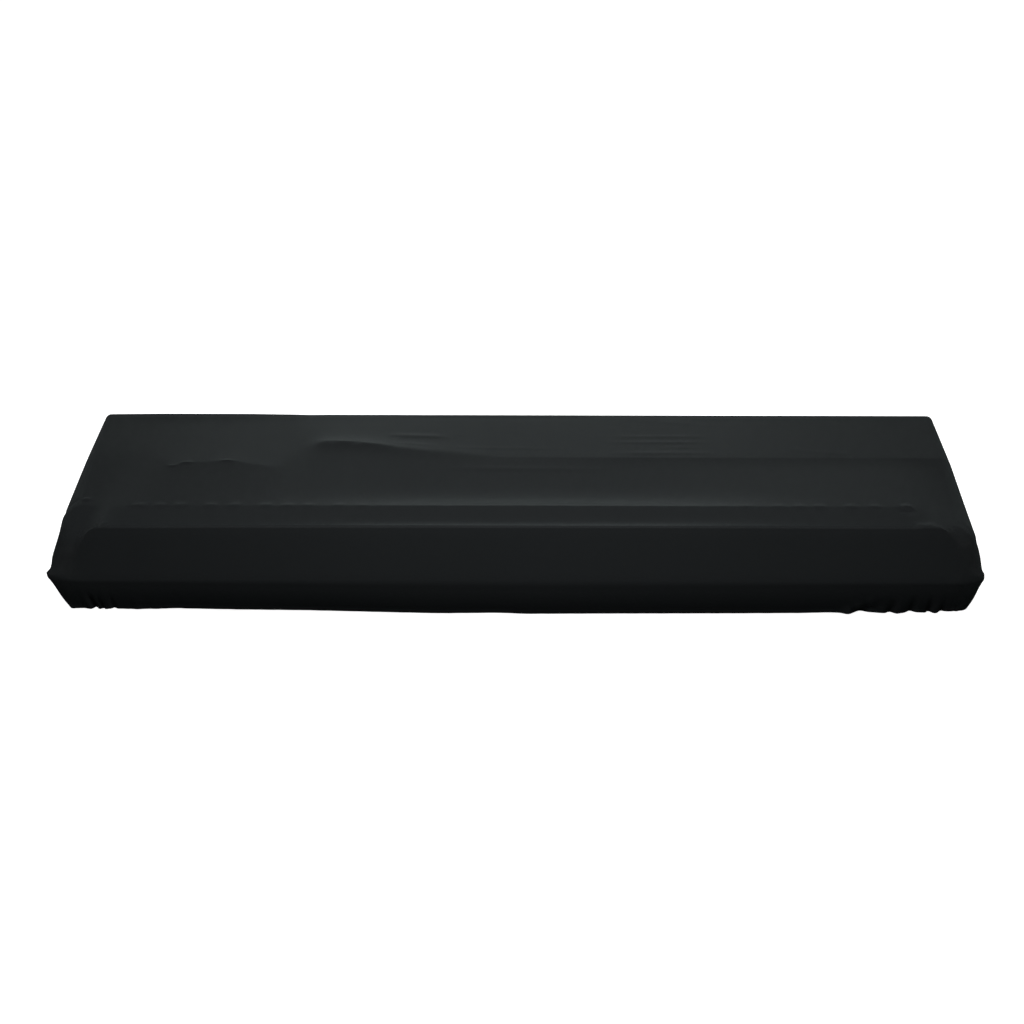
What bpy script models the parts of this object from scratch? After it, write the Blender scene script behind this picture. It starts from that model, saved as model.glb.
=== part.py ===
"""Stretch dust cover for a long portable keyboard: one elastic cloth shell.

The cloth is a single piece. It lies taut over the ridges of what it covers, drops down four
walls, turns under along a lower edge and is drawn in by the elastic in its hem. The mouth
inside the hem is open, and the hollow is where the keyboard goes.

Metres. X runs along the keyboard, Y from its front to its back, Z up. The origin is below
the middle of the cover, level with the lowest point of the hem.
"""
import bpy
import numpy as np

# Overall size, over the lower edge
LENGTH = 1.190
DEPTH = 0.416
CLOTH = 0.0020
HEM_CLOTH = 0.0032

# Walls: how far the lower edge stands out from the top of each wall
FRONT_FLARE = 0.008
SIDE_FLARE = 0.0055
BACK_FLARE = 0.004
HALF_X = LENGTH / 2 - SIDE_FLARE
Y_FRONT = -DEPTH / 2 + FRONT_FLARE
Y_BACK = DEPTH / 2 - BACK_FLARE

# Rounding from the top into the walls
ROUND_KEYS = 0.004
ROUND_CHEEK = 0.014
ROUND_SIDE_FRONT = 0.025
ROUND_SIDE_BACK = 0.012
ROUND_BACK = 0.007

# Plan corners of the walls, and of the top inside its rounding
CORNER_FRONT = 0.030
CORNER_BACK = 0.017
TOP_CORNER_FRONT = 0.006
TOP_CORNER_BACK = 0.006

# Lower edge, hem and the drawn-in band between them
EDGE_Z = 0.053
EDGE_SAG = 0.0025
EDGE_ROUND = 0.005
HEM_Z = 0.0055
HEM_IN_FRONT = 0.028
HEM_IN_SIDE = 0.0155
HEM_IN_BACK = 0.024
HEM_TALL = 0.006
HEM_TUCK = 0.001
MIDDLE_HALF = 0.55
BAND_BULGE = 0.003

# The pinched tips at the two front lower corners: reach, and where round the corner
EAR = 0.013
EAR_ANGLE = 40
EAR_SPREAD = 22

# The ridges that the cloth lies on, from front to back. x_drop is where a ridge starts to
# fall at each end, x_foot where it has reached z_end, and sag the dip of the cloth between
# this ridge and the next one behind it.
RIDGES = [
    dict(y=Y_FRONT + ROUND_KEYS, z=0.1235, z_end=0.1080, x_drop=0.533, x_foot=0.552, sag=0.0030),
    dict(y=-0.142, z=0.1355, z_end=0.1200, x_drop=0.500, x_foot=0.572, sag=0.0050),
    dict(y=0.036, z=0.1490, z_end=0.1480, x_drop=0.530, x_foot=0.580, sag=0.0006),
    dict(y=Y_BACK - ROUND_BACK, z=0.1640, z_end=0.1640, x_drop=0.540, x_foot=0.580, sag=0.0),
]
FRONT_CROWN = 0.0015
KEYS_HALF = 0.533

# The cloth sags between ridges only along this stretch, fading out at its two ends
SAG_LEFT, SAG_LEFT_FADE = -0.42, 0.22
SAG_RIGHT, SAG_RIGHT_FADE = 0.60, 0.25

# A row of slider knobs holds the step's edge forward of its line: place and distance
SLIDERS = [
    dict(x=-0.505, ahead=0.000),
    dict(x=-0.474, ahead=0.038),
    dict(x=-0.443, ahead=0.022),
    dict(x=-0.393, ahead=0.018),
    dict(x=-0.357, ahead=0.026),
    dict(x=-0.315, ahead=0.040),
    dict(x=-0.285, ahead=0.000),
]

# A broad dial lifts the cloth behind the step: place of its crest and height over the panel
DIAL = [
    dict(x=-0.420, y=0.058, lift=-0.0080),
    dict(x=-0.345, y=0.058, lift=0.0010),
    dict(x=-0.300, y=0.060, lift=0.0090),
    dict(x=-0.265, y=0.062, lift=0.0120),
    dict(x=-0.206, y=0.062, lift=0.0120),
    dict(x=-0.161, y=0.049, lift=0.0056),
    dict(x=-0.106, y=0.042, lift=0.0005),
    dict(x=-0.020, y=0.038, lift=-0.0060),
]
DIAL_SAG_FRONT = 0.0060
DIAL_SAG_BACK = 0.0015
DIAL_BLEND = 0.0010

# The bend wheel under the left cheek
WHEEL = dict(x=-0.558, y=-0.112, lift=0.008, wide=0.009, long=0.018)

# Gathers that the elastic pulls into the band near the front corners
GATHER = 0.0016
GATHER_PITCH = 0.034
GATHER_FROM, GATHER_FADE = 0.44, 0.06

# Grid: columns between these places along X, and rows between the ridges
BLOCK_END = 0.500
COLUMNS_CHEEK = 6
COLUMNS_BLOCK = 48
ROWS = [4, 8, 6]

TURN = 1 - 1 / np.sqrt(2)


def ramp(value, start, end):
    """0 before start, 1 after end, and a soft S between them: t*t*(3-2t)."""
    t = np.clip((value - start) / (end - start), 0, 1)
    return t * t * (3 - 2 * t)


def column(table, key):
    """One named column of a table, as an array."""
    return np.array([row[key] for row in table])


def span(y, y0, z0, y1, z1, sag):
    """Cloth hung between two lines: a straight run less a parabola of the given dip."""
    t = np.clip((y - y0) / (y1 - y0), 0, 1)
    return z0 + (z1 - z0) * t - 4 * sag * t * (1 - t)


def ridge_height(ridge, x):
    """Height of one ridge along X: level, then falling evenly to its end height."""
    t = np.clip((np.abs(x) - ridge["x_drop"]) / (ridge["x_foot"] - ridge["x_drop"]), 0, 1)
    return ridge["z"] + (ridge["z_end"] - ridge["z"]) * t


def top_height(x, y):
    """Height of the cloth over the plan: spans between four ridges, a dial and a wheel."""
    keys, black, step, back = RIDGES
    z_keys = ridge_height(keys, x) + FRONT_CROWN * np.clip(1 - (x / KEYS_HALF) ** 2, 0, 1)
    z_black = ridge_height(black, x)
    z_step = ridge_height(step, x)
    z_back = ridge_height(back, x)
    slack = ramp(x, SAG_LEFT, SAG_LEFT + SAG_LEFT_FADE)
    slack = slack * (1 - ramp(x, SAG_RIGHT - SAG_RIGHT_FADE, SAG_RIGHT))

    ahead = np.interp(x, column(SLIDERS, "x"), column(SLIDERS, "ahead"))
    panel_slope = (z_back - z_step) / (back["y"] - step["y"])
    y_step = step["y"] - ahead
    z_edge = z_step - panel_slope * ahead

    front = span(y, keys["y"], z_keys, black["y"], z_black, keys["sag"] * slack)
    middle = span(y, black["y"], z_black, y_step, z_edge, black["sag"] * slack)
    rear = span(y, y_step, z_edge, back["y"], z_back, step["sag"] * slack)
    z = np.where(y < black["y"], front, np.where(y < y_step, middle, rear))

    y_dial = np.interp(x, column(DIAL, "x"), column(DIAL, "y"))
    lift = np.interp(x, column(DIAL, "x"), column(DIAL, "lift"))
    z_dial = z_step + panel_slope * (y_dial - step["y"]) + lift
    before = span(y, black["y"], z_black, y_dial, z_dial, DIAL_SAG_FRONT)
    behind = span(y, y_dial, z_dial, back["y"], z_back, DIAL_SAG_BACK)
    tent = np.where(y < y_dial, before, behind)
    inside = (x > DIAL[0]["x"]) & (x < DIAL[-1]["x"]) & (y > black["y"]) & (y < back["y"])
    gap = tent - z
    raised = z + (gap + np.sqrt(gap ** 2 + DIAL_BLEND ** 2)) / 2
    z = np.where(inside & (gap > -3 * DIAL_BLEND), np.maximum(raised, z), z)

    off = np.hypot((x - WHEEL["x"]) / WHEEL["wide"], (y - WHEEL["y"]) / WHEEL["long"])
    return z + WHEEL["lift"] * np.exp(-off ** 2)


def border(place, low, high, r_low, r_high):
    """Inset of a rounded rectangle's side at each place, and the lean of its normal."""
    lean_low = np.clip(low + r_low - place, 0, None) / r_low
    lean_high = np.clip(place - high + r_high, 0, None) / r_high
    inset = r_low * (1 - np.sqrt(1 - lean_low ** 2)) + r_high * (1 - np.sqrt(1 - lean_high ** 2))
    return inset, lean_high - lean_low


def grid_places():
    """Fractions along X and Y of the grid's columns and rows."""
    reach = HALF_X - ROUND_SIDE_FRONT - TURN * TOP_CORNER_FRONT
    cheek = np.linspace(BLOCK_END, reach, COLUMNS_CHEEK + 1)
    block = np.linspace(-BLOCK_END, BLOCK_END, COLUMNS_BLOCK + 1)
    x = np.concatenate([-cheek[:0:-1], block, cheek[1:]])
    lines = column(RIDGES, "y")
    rows = [np.linspace(lines[i], lines[i + 1], n, endpoint=False) for i, n in enumerate(ROWS)]
    y = np.concatenate(rows + [lines[-1:]])
    return (x + reach) / (2 * reach), (y - lines[0]) / (lines[-1] - lines[0])


def top_grid(fx, fy):
    """Plan of the top: a patch blended from its four border curves (Coons patch)."""
    half_front = HALF_X - ROUND_SIDE_FRONT
    half_back = HALF_X - ROUND_SIDE_BACK
    low, high = Y_FRONT + ROUND_CHEEK, Y_BACK - ROUND_BACK

    x_front = (2 * fx - 1) * (half_front - TURN * TOP_CORNER_FRONT)
    inset, _ = border(x_front, -half_front, half_front, TOP_CORNER_FRONT, TOP_CORNER_FRONT)
    round_front = ROUND_KEYS + (ROUND_CHEEK - ROUND_KEYS) * ramp(
        np.abs(x_front), RIDGES[0]["x_drop"], RIDGES[0]["x_foot"])
    y_front = Y_FRONT + round_front + inset

    x_back = (2 * fx - 1) * (half_back - TURN * TOP_CORNER_BACK)
    inset, _ = border(x_back, -half_back, half_back, TOP_CORNER_BACK, TOP_CORNER_BACK)
    y_back = high - inset

    y_first, y_last = low + TURN * TOP_CORNER_FRONT, high - TURN * TOP_CORNER_BACK
    y_side = y_first + (y_last - y_first) * fy
    inset, _ = border(y_side, low, high, TOP_CORNER_FRONT, TOP_CORNER_BACK)
    x_side = half_front + (half_back - half_front) * fy - inset

    u, v = fx[None, :], fy[:, None]
    across = (2 * u - 1) * x_side[:, None]
    along = (1 - v) * x_front[None, :] + v * x_back[None, :]
    corners = (2 * u - 1) * ((1 - v) * x_front[-1] + v * x_back[-1])
    x = across + along - corners
    y = y_side[:, None] + (1 - v) * (y_front[None, :] - y_first) + v * (y_back[None, :] - y_last)
    return x, y


def loop_of(grid):
    """The border of a grid of values, once round anticlockwise from its front left."""
    return np.concatenate([grid[0, :-1], grid[:-1, -1], grid[-1, :0:-1], grid[:0:-1, 0]])


def wall_loop(x_top, fx, fy):
    """Top of the walls round the same border, and the outward normals there.

    x_top is the top's own front border: the wall's columns stay in line with it along the
    block of keys, and spread out past it to reach the wider corners.
    """
    reach = HALF_X - TURN * CORNER_FRONT
    spread = (reach - x_top[-1]) / (x_top[-1] - BLOCK_END)
    past = np.clip(np.abs(x_top) - BLOCK_END, 0, None)
    x_front = x_top + np.sign(x_top) * past * spread
    inset, lean = border(x_front, -HALF_X, HALF_X, CORNER_FRONT, CORNER_FRONT)
    front = [x_front, Y_FRONT + inset, lean, -np.sqrt(1 - lean ** 2)]

    x_back = (2 * fx - 1) * (HALF_X - TURN * CORNER_BACK)
    inset, lean = border(x_back, -HALF_X, HALF_X, CORNER_BACK, CORNER_BACK)
    back = [x_back, Y_BACK - inset, lean, np.sqrt(1 - lean ** 2)]

    first, last = Y_FRONT + TURN * CORNER_FRONT, Y_BACK - TURN * CORNER_BACK
    y_side = first + (last - first) * fy
    inset, lean = border(y_side, Y_FRONT, Y_BACK, CORNER_FRONT, CORNER_BACK)
    right = [HALF_X - inset, y_side, np.sqrt(1 - lean ** 2), lean]
    left = [-right[0], y_side, -right[2], lean]
    sides = [np.concatenate([f[:-1], r[:-1], b[:0:-1], l[:0:-1]])
             for f, r, b, l in zip(front, right, back, left)]
    return np.stack(sides[:2], axis=1), np.stack(sides[2:], axis=1)


def by_side(normal, front, side, back):
    """A value that differs by wall, blended round the corners by the normal."""
    facing = normal[:, 1]
    value = side * (1 - facing ** 2)
    return value + np.where(facing < 0, front, back) * facing ** 2


def skirt_rings(top, wall, normal):
    """Rings of the skirt, from the edge rounding down to the rim of the hem."""
    def ring(plan, z):
        return np.column_stack([plan, z])

    drop = np.sum((wall - top[:, :2]) * normal, axis=1)
    z_wall = top[:, 2] - drop
    x = wall[:, 0]
    middle = np.clip(1 - (x / MIDDLE_HALF) ** 2, 0, 1) ** 2 * normal[:, 1] ** 2

    flare = by_side(normal, FRONT_FLARE, SIDE_FLARE, BACK_FLARE)
    angle = np.degrees(np.arctan2(-normal[:, 1], np.abs(normal[:, 0])))
    ear = EAR * np.exp(-((angle - EAR_ANGLE) / EAR_SPREAD) ** 2)
    edge = wall + normal * flare[:, None]
    edge[:, 0] += np.sign(x) * ear
    z_edge = EDGE_Z - EDGE_SAG * middle

    near_end = ramp(np.abs(x), GATHER_FROM, GATHER_FROM + GATHER_FADE) * normal[:, 1] ** 2
    gather = GATHER * near_end * np.sin(2 * np.pi * x / GATHER_PITCH)
    inward = by_side(normal, HEM_IN_FRONT, HEM_IN_SIDE, HEM_IN_BACK)
    hem = wall + normal * (flare - inward + gather)[:, None]
    z_hem = HEM_Z * (1 - middle)

    lower, upper = ring(edge, z_edge), ring(wall, z_wall)
    hem_top = ring(hem, z_hem + HEM_TALL)
    band = hem_top - lower
    before = lower + (upper - lower) * (EDGE_ROUND / (z_wall - z_edge))[:, None]
    after = lower + band * EDGE_ROUND / np.linalg.norm(band, axis=1)[:, None]
    turn = (before + 2 * lower + after) / 4
    bulge = BAND_BULGE * np.column_stack([normal, np.zeros(len(normal))])
    half_turn = np.sqrt(0.5)
    shoulder = ring(top[:, :2] + (wall - top[:, :2]) * half_turn,
                    top[:, 2] - drop * (1 - half_turn))
    rim = ring(hem - normal * HEM_TUCK, z_hem)
    return [shoulder, upper, (before + upper) / 2, before, turn, after,
            (after + hem_top) / 2 + bulge, hem_top, rim]


def cover_sheet():
    """Points and quads of the outer face, and the indices of the hem's points."""
    fx, fy = grid_places()
    x, y = top_grid(fx, fy)
    z = top_height(x, y)
    points = np.stack([x, y, z], axis=2).reshape(-1, 3)
    index = np.arange(points.shape[0]).reshape(x.shape)
    quads = np.stack([index[:-1, :-1], index[:-1, 1:], index[1:, 1:], index[1:, :-1]], axis=2)
    quads = [quads.reshape(-1, 4)]

    loop = loop_of(index)
    wall, normal = wall_loop(x[0], fx, fy)
    rings = skirt_rings(points[loop], wall, normal)
    count = len(loop)
    for ring in rings:
        lower = points.shape[0] + np.arange(count)
        points = np.vstack([points, ring])
        quads.append(np.column_stack([loop, lower, np.roll(lower, -1), np.roll(loop, -1)]))
        loop = lower
    hem = np.arange(points.shape[0] - 2 * count, points.shape[0])
    return points, np.vstack(quads), hem


def cloth_material():
    """Black stretch knit with a soft sheen."""
    material = bpy.data.materials.new("stretch_cloth")
    material.use_nodes = True
    shader = material.node_tree.nodes["Principled BSDF"]
    shader.inputs["Base Color"].default_value = (0.012, 0.013, 0.0135, 1)
    shader.inputs["Roughness"].default_value = 0.6
    shader.inputs["Metallic"].default_value = 0.0
    shader.inputs["Sheen Weight"].default_value = 0.3
    return material


def make_cover():
    """The outer face as a mesh, thickened inward by Solidify, a little more at the hem."""
    points, quads, hem = cover_sheet()
    mesh = bpy.data.meshes.new("cover")
    mesh.from_pydata(points.tolist(), [], quads.tolist())
    mesh.update()
    mesh.shade_smooth()
    cover = bpy.data.objects.new("cover", mesh)
    bpy.context.scene.collection.objects.link(cover)
    cover.data.materials.append(cloth_material())

    thick = cover.vertex_groups.new(name="hem")
    thick.add(hem.tolist(), 1.0, "REPLACE")
    shell = cover.modifiers.new("cloth", "SOLIDIFY")
    shell.thickness = HEM_CLOTH
    shell.offset = -1.0
    shell.vertex_group = thick.name
    shell.thickness_vertex_group = CLOTH / HEM_CLOTH
    return cover


for old in list(bpy.data.objects):
    bpy.data.objects.remove(old, do_unlink=True)
make_cover()
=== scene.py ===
# %% [markdown]
# A stretch dust cover for a long keyboard
#
# The real thing is one cut of thin black knit with elastic in its hem. Pulled over a
# keyboard it goes taut like a drum skin: it touches only the highest lines under it and
# hangs in shallow dips between them. This lesson makes that skin as one surface. It could
# be draped by a cloth simulation, but then the thing under it would have to be modelled
# first. Working the surface out from the few lines that hold it up is quicker and exact.

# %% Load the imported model
import bpy
import numpy as np
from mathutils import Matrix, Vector


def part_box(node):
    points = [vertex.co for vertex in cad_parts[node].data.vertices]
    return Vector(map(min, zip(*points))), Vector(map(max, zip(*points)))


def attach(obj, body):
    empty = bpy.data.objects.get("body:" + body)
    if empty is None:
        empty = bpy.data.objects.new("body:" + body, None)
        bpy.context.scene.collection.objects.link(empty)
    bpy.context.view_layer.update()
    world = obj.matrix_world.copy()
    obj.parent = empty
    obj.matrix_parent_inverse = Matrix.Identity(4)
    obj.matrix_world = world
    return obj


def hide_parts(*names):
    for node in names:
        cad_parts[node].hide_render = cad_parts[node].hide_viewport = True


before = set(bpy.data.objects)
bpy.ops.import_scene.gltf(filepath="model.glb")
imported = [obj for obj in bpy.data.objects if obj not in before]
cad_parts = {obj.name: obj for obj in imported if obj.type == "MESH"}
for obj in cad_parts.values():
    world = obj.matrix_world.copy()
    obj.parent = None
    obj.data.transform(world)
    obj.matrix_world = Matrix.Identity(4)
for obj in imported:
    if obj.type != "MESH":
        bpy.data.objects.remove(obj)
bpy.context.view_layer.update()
node_low, node_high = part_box("cover")
print("solid cover, metres:", [round(float(c), 4) for c in (*node_low, *node_high)])

# %% [markdown]
# The camera
#
# The photograph looks a little down on the front of the cover. A camera is a place, a turn
# and a lens. The pitch follows from how flat the top looks, the lens and the distance from
# how much the far ridges shrink, and the small turn to the left from the right end's being
# drawn a little narrower than the left.

# %% Camera
CAMERA_PLACE = (0.0212, -2.9434, 1.0100)
CAMERA_PITCH = 17.5
CAMERA_TURN = 0.55
LENS_MM = 80.33
SENSOR_MM = 36

eye = bpy.data.cameras.new("camera")
eye.lens = LENS_MM
eye.sensor_width = SENSOR_MM
camera = bpy.data.objects.new("camera", eye)
camera.location = CAMERA_PLACE
camera.rotation_euler = (np.radians(90 - CAMERA_PITCH), 0, np.radians(CAMERA_TURN))
bpy.context.scene.collection.objects.link(camera)
bpy.context.scene.camera = camera
print("camera at", CAMERA_PLACE, "metres, looking down", CAMERA_PITCH, "degrees")

# %% [markdown]
# Small helpers
#
# A few helpers are used all through. A ramp fades something in. A rounded table lookup joins
# a few named points with straight runs and takes the sharpness off their corners, which is
# what taut cloth does. A bump is a soft swelling. A spread of places puts grid lines close
# together where the cloth has more to show, so that no triangles are wasted on its plain
# stretches.

# %% Helpers
WINDOW_PLACES = 7
FINE_PLACES = 4001


def column(table, key):
    """One named column of a table, as an array."""
    return np.array([row[key] for row in table])


def ramp(value, start, end):
    """0 before start, 1 after end, and a soft S between them: t*t*(3-2t)."""
    t = np.clip((value - start) / (end - start), 0, 1)
    return t * t * (3 - 2 * t)


def rounded(x, table, key, reach):
    """Straight runs between a table's points, averaged over a window of reach either side."""
    shifts = np.linspace(-reach, reach, WINDOW_PLACES)
    places, values = column(table, "x"), column(table, key)
    return np.mean([np.interp(x + shift, places, values) for shift in shifts], axis=0)


def bump(x, centre, wide):
    """A soft round bump: e to the minus (distance over width) squared."""
    return np.exp(-((x - centre) / wide) ** 2)


def spread(table, key):
    """Places along a line, with the steps that a table names at some of them.

    One over the step is how many lines a metre takes. The running sum of that, cut into
    equal parts, gives the places.
    """
    fine = np.linspace(table[0][key], table[-1][key], FINE_PLACES)
    density = 1 / np.interp(fine, column(table, key), column(table, "step"))
    total = np.append(0, np.cumsum((density[1:] + density[:-1]) / 2 * np.diff(fine)))
    return np.interp(np.linspace(0, total[-1], int(round(total[-1])) + 1), total, fine)


print("a ramp halfway between its ends:", ramp(0.5, 0, 1))

# %% [markdown]
# Driving sizes
#
# The cover's plan is a rounded rectangle, and its walls lean out to a lower edge where the
# cloth turns under. These are the solid's own sizes, so that the fine surface lies on it.
# Only the end walls lean out a little more than the solid's, as the photograph shows them.

# %% Sizes of the plan and the walls
LENGTH, DEPTH = 1.190, 0.416
FRONT_FLARE, SIDE_FLARE, BACK_FLARE = 0.008, 0.0090, 0.004
SIDE_SET_IN, SIDE_BULGE = 0.0077, 0.0018
HALF_X = LENGTH / 2 - SIDE_SET_IN
Y_FRONT = -DEPTH / 2 + FRONT_FLARE
Y_BACK = DEPTH / 2 - BACK_FLARE

# Radius of the turn from the top into each wall, and where along X the front's turn widens
# from the keys' to the cheek's
ROUND_KEYS, ROUND_CHEEK, ROUND_SIDE_FRONT = 0.003, 0.020, 0.025
ROUND_SIDE_BACK, ROUND_BACK = 0.005, 0.007
CHEEK_START = (0.529, 0.550)

# Plan corners of the walls, and of the top inside its rounding
CORNER_FRONT, CORNER_BACK = 0.030, 0.010
TOP_CORNER = 0.004

# How far the middle of a round corner lies in from its sides, as a share of its radius
TURN = 1 - 1 / np.sqrt(2)

# Past this place along X the columns spread out to the walls' front corners
BLOCK_END = 0.500
print("plan", LENGTH, "by", DEPTH, "metres")

# %% [markdown]
# The lines that hold the cloth up
#
# From front to back these are the tips of the white keys, the tips of the black keys, the
# step up to the control panel, and the back edge. The back edge is straight. The others are
# tables of a few places along X: how far back the line lies, how high, and how softly the
# cloth bends over it. The step's own table comes next, because knobs hold most of it up.

# %% The front ridges and the back edge
BLACK_KEYS_Y, STEP_Y = -0.142, 0.030
LINE_Y = (Y_FRONT + ROUND_KEYS, BLACK_KEYS_Y, STEP_Y, Y_BACK - ROUND_BACK)
STEP_Z, BACK_Z = 0.1502, 0.1640
PANEL_SLOPE = (BACK_Z - STEP_Z) / (LINE_Y[3] - STEP_Y)

# Tips of the white keys, falling at both ends where the key block stops
WHITE_KEYS = [
    dict(x=-0.580, z=0.0960), dict(x=-0.564, z=0.1020), dict(x=-0.551, z=0.1070),
    dict(x=-0.538, z=0.1165), dict(x=-0.528, z=0.1245), dict(x=-0.300, z=0.1257),
    dict(x=0.000, z=0.1262), dict(x=0.300, z=0.1267), dict(x=0.528, z=0.1262),
    dict(x=0.538, z=0.1225), dict(x=0.558, z=0.1190), dict(x=0.580, z=0.1150),
]

# Tips of the black keys, and past their left end a pocket and then the bend wheel
BLACK_KEYS = [
    dict(x=-0.590, y=-0.130, z=0.1220, soft=0.0060),
    dict(x=-0.575, y=-0.128, z=0.1290, soft=0.0020),
    dict(x=-0.556, y=-0.128, z=0.1295, soft=0.0020),
    dict(x=-0.547, y=-0.131, z=0.1292, soft=0.0040),
    dict(x=-0.535, y=-0.136, z=0.1302, soft=0.0100),
    dict(x=-0.520, y=-0.142, z=0.1322, soft=0.0060),
    dict(x=-0.500, y=-0.142, z=0.1343, soft=0.0014),
    dict(x=0.000, y=-0.142, z=0.1355, soft=0.0012),
    dict(x=0.502, y=-0.142, z=0.1350, soft=0.0014),
    dict(x=0.530, y=-0.142, z=0.1322, soft=0.0200),
    dict(x=0.560, y=-0.142, z=0.1260, soft=0.0300),
    dict(x=0.590, y=-0.142, z=0.1200, soft=0.0300),
]
LINE_ROUND = 0.004

# Share of the full dip behind the two key ridges along X: nothing at the ends, where the
# cloth is stretched over the corners, and most in the middle
SLACK = [
    dict(x=-0.49, share=0.0), dict(x=-0.40, share=0.05), dict(x=-0.31, share=0.2),
    dict(x=-0.21, share=0.5), dict(x=-0.12, share=0.9), dict(x=0.14, share=1.0),
    dict(x=0.24, share=0.65), dict(x=0.36, share=0.15), dict(x=0.46, share=0.0),
    dict(x=0.50, share=0.0),
]
SLACK_ROUND = 0.040
WHITE_DIP, WHITE_REACH = 0.23, 0.017
BLACK_DIP, BLACK_REACH = 0.195, 0.037
print("lines from front to back, metres:", [round(y, 4) for y in LINE_Y])


def hang(y, start, end, dip=0.0, dip_reach=0.02, rise=0.0, rise_reach=0.02):
    """Cloth between two lines (y, z), and its slopes there.

    It is a straight run less two dips. The first takes dip off the slope at the start and
    dies away within its reach: dip * reach * (1 - t) * tanh(s / reach). The second adds
    rise to the slope at the end in the same way.
    """
    (y0, z0), (y1, z1) = start, end
    wide = y1 - y0
    t = np.clip((y - y0) / wide, 0, 1)
    first = dip * dip_reach * (1 - t) * np.tanh(t * wide / dip_reach)
    last = rise * rise_reach * t * np.tanh((1 - t) * wide / rise_reach)
    slope = (z1 - z0) / wide
    slope_start = slope - dip - rise * rise_reach / wide
    slope_end = slope + rise + dip * dip_reach / wide
    return z0 + (z1 - z0) * t - first - last, slope_start, slope_end


def eased(u, before, after, soft):
    """What rounds a corner between two slopes, u from it.

    Half their difference times (root of (u squared + soft squared) less |u|).
    """
    return (after - before) / 2 * (np.sqrt(u ** 2 + soft ** 2) - np.abs(u))


# %% [markdown]
# What pokes up at the left
#
# A row of slider knobs holds the step's line forward, as tent poles would. Beside it a broad
# dial lifts the cloth into a long low tent that runs out to the right, into the plain step.
# So the step is one line with a table: where it lies, how far it is lifted off the panel's
# plane, how softly the cloth bends there, how much its slope drops just behind (tilt) and
# grows just in front (fall).

# %% The step's line, with the sliders and the dial
STEP_LINE = [
    dict(x=-0.590, y=0.045, lift=0.0000, soft=0.0300, tilt=0.00, fall=0.00),
    dict(x=-0.500, y=0.043, lift=0.0018, soft=0.0300, tilt=0.00, fall=0.00),
    dict(x=-0.478, y=0.010, lift=0.0028, soft=0.0150, tilt=0.00, fall=0.00),
    dict(x=-0.466, y=-0.014, lift=0.0035, soft=0.0060, tilt=0.01, fall=0.01),
    dict(x=-0.457, y=-0.012, lift=0.0036, soft=0.0050, tilt=0.01, fall=0.01),
    dict(x=-0.451, y=-0.003, lift=0.0040, soft=0.0016, tilt=0.02, fall=0.02),
    dict(x=-0.418, y=-0.001, lift=0.0040, soft=0.0014, tilt=0.00, fall=0.01),
    dict(x=-0.397, y=0.005, lift=0.0041, soft=0.0012, tilt=0.02, fall=0.02),
    dict(x=-0.384, y=0.005, lift=0.0041, soft=0.0012, tilt=0.02, fall=0.02),
    dict(x=-0.363, y=-0.004, lift=0.0035, soft=0.0014, tilt=0.01, fall=0.01),
    dict(x=-0.332, y=-0.011, lift=0.0022, soft=0.0030, tilt=0.01, fall=0.00),
    dict(x=-0.318, y=-0.012, lift=0.0019, soft=0.0100, tilt=0.01, fall=0.00),
    dict(x=-0.308, y=0.020, lift=0.0022, soft=0.0450, tilt=0.00, fall=0.00),
    dict(x=-0.297, y=0.062, lift=0.0036, soft=0.0420, tilt=0.02, fall=0.01),
    dict(x=-0.284, y=0.071, lift=0.0050, soft=0.0260, tilt=0.07, fall=0.04),
    dict(x=-0.272, y=0.074, lift=0.0060, soft=0.0100, tilt=0.11, fall=0.08),
    dict(x=-0.262, y=0.074, lift=0.0066, soft=0.0020, tilt=0.13, fall=0.10),
    dict(x=-0.237, y=0.074, lift=0.0066, soft=0.0020, tilt=0.13, fall=0.10),
    dict(x=-0.208, y=0.069, lift=0.0064, soft=0.0024, tilt=0.13, fall=0.09),
    dict(x=-0.188, y=0.065, lift=0.0058, soft=0.0040, tilt=0.11, fall=0.08),
    dict(x=-0.166, y=0.059, lift=0.0050, soft=0.0080, tilt=0.09, fall=0.06),
    dict(x=-0.130, y=0.051, lift=0.0038, soft=0.0100, tilt=0.07, fall=0.05),
    dict(x=-0.099, y=0.047, lift=0.0026, soft=0.0120, tilt=0.05, fall=0.04),
    dict(x=-0.066, y=0.041, lift=0.0014, soft=0.0080, tilt=0.03, fall=0.02),
    dict(x=-0.040, y=0.034, lift=0.0004, soft=0.0030, tilt=0.00, fall=0.00),
    dict(x=-0.020, y=0.030, lift=0.0000, soft=0.0012, tilt=0.00, fall=0.00),
    dict(x=0.250, y=0.030, lift=0.0000, soft=0.0012, tilt=0.00, fall=0.04),
    dict(x=0.540, y=0.0305, lift=0.0000, soft=0.0012, tilt=0.00, fall=0.05),
    dict(x=0.590, y=0.031, lift=-0.0010, soft=0.0040, tilt=0.00, fall=0.00),
]
TILT_REACH, FALL_REACH = 0.028, 0.025

# Caps that press up through the cloth on that line, two dips between the dial's, the wheel's
# second hump, and a dip in front of the last black key
KNOBS = [
    dict(x=-0.4610, y=-0.0135, lift=0.0007, wide=0.0055, long=0.004),
    dict(x=-0.4440, y=-0.0030, lift=0.0010, wide=0.0065, long=0.004),
    dict(x=-0.3900, y=0.0045, lift=0.0010, wide=0.0065, long=0.004),
    dict(x=-0.2550, y=0.0730, lift=-0.0006, wide=0.0065, long=0.005),
    dict(x=-0.2210, y=0.0700, lift=-0.0006, wide=0.0065, long=0.005),
    dict(x=-0.5600, y=-0.1090, lift=0.0010, wide=0.0055, long=0.005),
    dict(x=0.5000, y=-0.1520, lift=-0.0012, wide=0.0090, long=0.007),
]


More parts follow.
